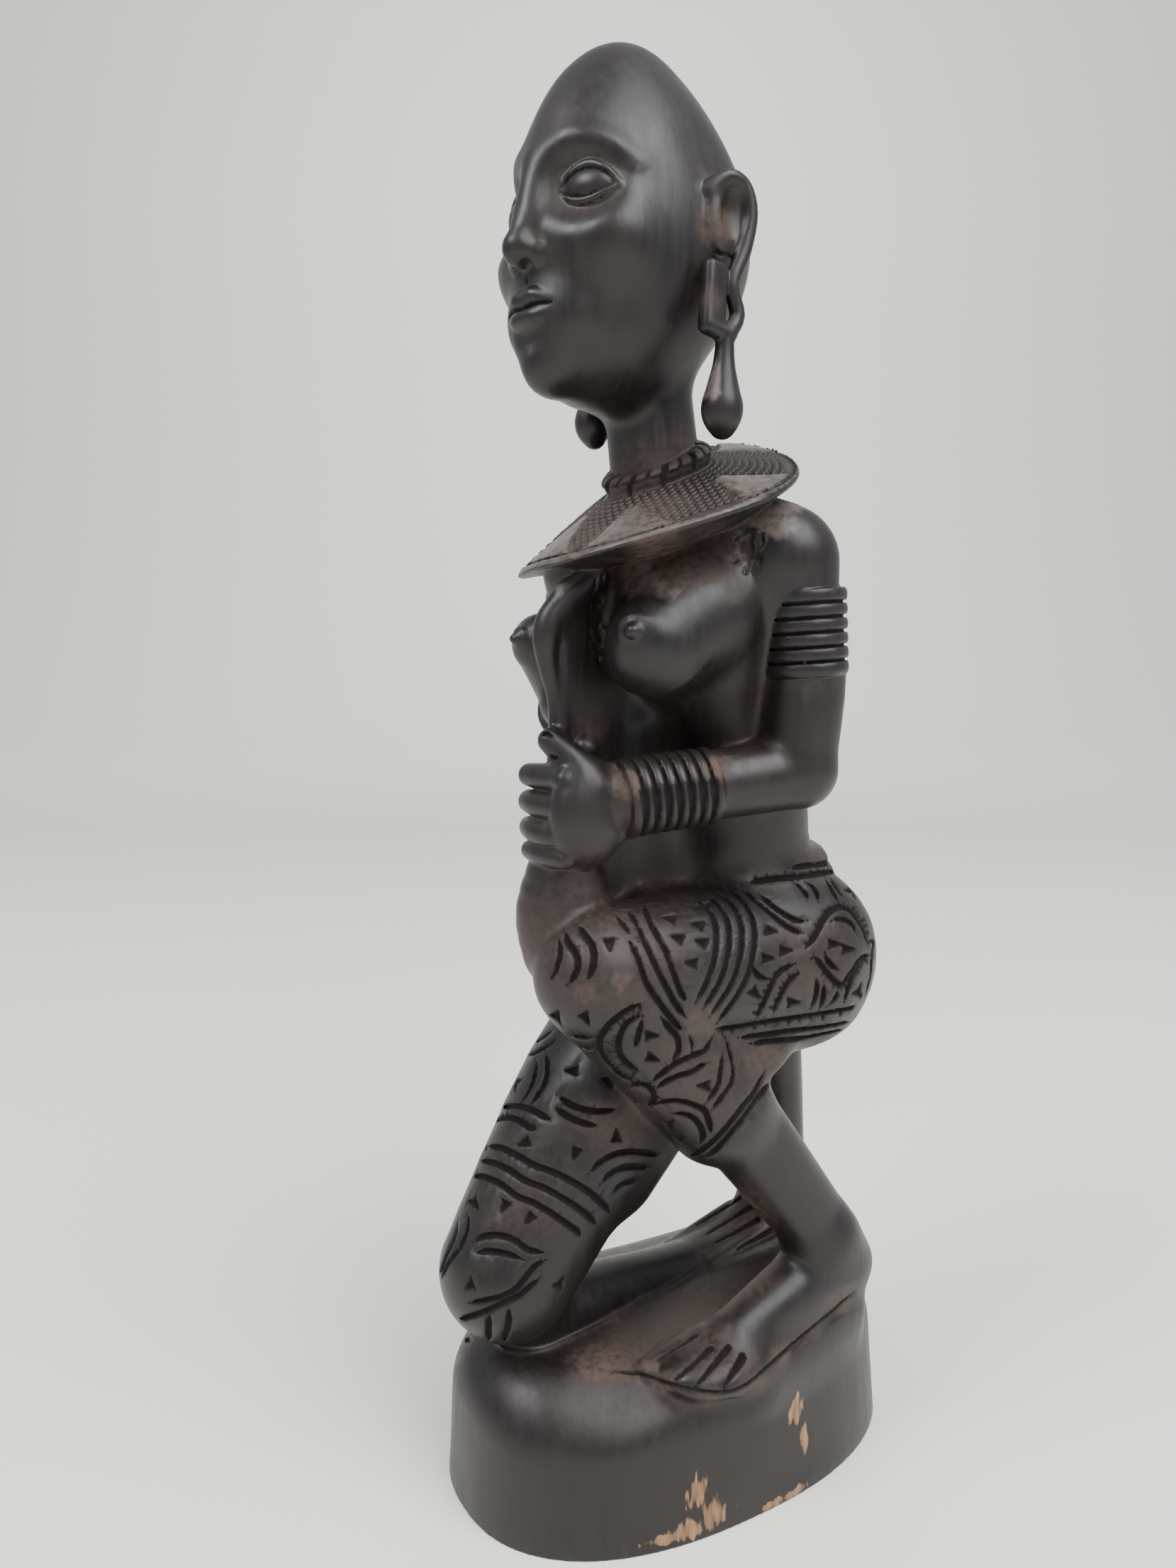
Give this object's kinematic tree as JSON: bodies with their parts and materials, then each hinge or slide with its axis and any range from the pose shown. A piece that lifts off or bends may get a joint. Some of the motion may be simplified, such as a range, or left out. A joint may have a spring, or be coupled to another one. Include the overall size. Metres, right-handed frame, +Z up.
{
  "type": "kneeling woman wood carving",
  "caption": "Carved dark wood figure of a kneeling Maasai woman in a wide collar and wrapped skirt, holding a calabash, on a low oval base.",
  "frame": {"origin": "on the flat underside of the base, near its middle", "axes": "+Z up along the height, the figure faces -Y, her left side is +X"},
  "size_m": [0.0965, 0.1415, 0.3943],
  "materials": {
    "ebony": "satin, hand polished, with dusty recesses"
  },
  "bodies": {
    "root": {"carving": "ebony"}
  },
  "joints": []
}
